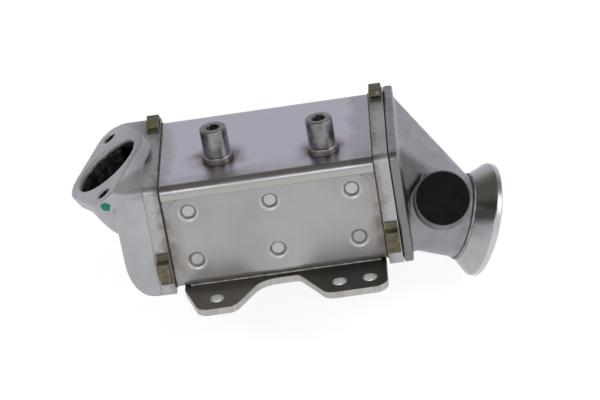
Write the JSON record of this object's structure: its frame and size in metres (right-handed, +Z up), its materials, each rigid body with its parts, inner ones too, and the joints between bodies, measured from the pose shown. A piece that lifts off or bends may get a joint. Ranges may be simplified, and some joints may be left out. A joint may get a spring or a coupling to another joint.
{
  "type": "egr cooler",
  "caption": "Exhaust gas recirculation cooler: a tube bundle in a folded steel shell with a cast flanged inlet elbow, an outlet funnel with a clamp flange, and a bracket.",
  "frame": {"origin": "in the flat underside of the mounting bracket, below the middle of the tube bundle", "axes": "+X along the gas flow from the inlet elbow to the outlet, +Z up from the bracket, the front with the dimples is -Y"},
  "size_m": [0.2614, 0.15, 0.1296],
  "materials": {
    "stainless_sheet": "bare pressed stainless sheet, semi-gloss, with heat tint by the welds",
    "header_steel": "brazed stainless steel, browned by heat",
    "tube_steel": "bare stainless strip",
    "clip_steel": "olive-brown oxidised strip",
    "cast_steel": "blasted light grey casting",
    "pressed_steel": "bare pressed steel, semi-gloss",
    "turned_steel": "turned, fine lathe marks",
    "black_plastic": "satin black",
    "bracket_steel": "dark rolled plate with bright cut edges"
  },
  "bodies": {
    "root": {"shell_body": "stainless_sheet", "shell_lid": "stainless_sheet", "header_left": "header_steel", "header_right": "header_steel", "gas_tube_1": "tube_steel", "gas_tube_2": "tube_steel", "gas_tube_3": "tube_steel", "gas_tube_4": "tube_steel", "gas_tube_5": "tube_steel", "gas_tube_6": "tube_steel", "gas_tube_7": "tube_steel", "tube_fin_1": "tube_steel", "tube_fin_2": "tube_steel", "tube_fin_3": "tube_steel", "tube_fin_4": "tube_steel", "tube_fin_5": "tube_steel", "tube_fin_6": "tube_steel", "tube_fin_7": "tube_steel", "retaining_clip_1": "clip_steel", "retaining_clip_2": "clip_steel", "retaining_clip_3": "clip_steel", "retaining_clip_4": "clip_steel", "retaining_clip_5": "clip_steel", "retaining_clip_6": "clip_steel", "retaining_clip_7": "clip_steel", "retaining_clip_8": "clip_steel", "inlet_elbow": "cast_steel", "outlet_tank": "pressed_steel", "port_collar": "pressed_steel", "coolant_inlet": "pressed_steel", "coolant_outlet": "pressed_steel", "clamp_flange": "turned_steel", "boss_left": "turned_steel", "boss_right": "turned_steel", "port_plug": "black_plastic", "mounting_bracket": "bracket_steel"}
  },
  "joints": []
}
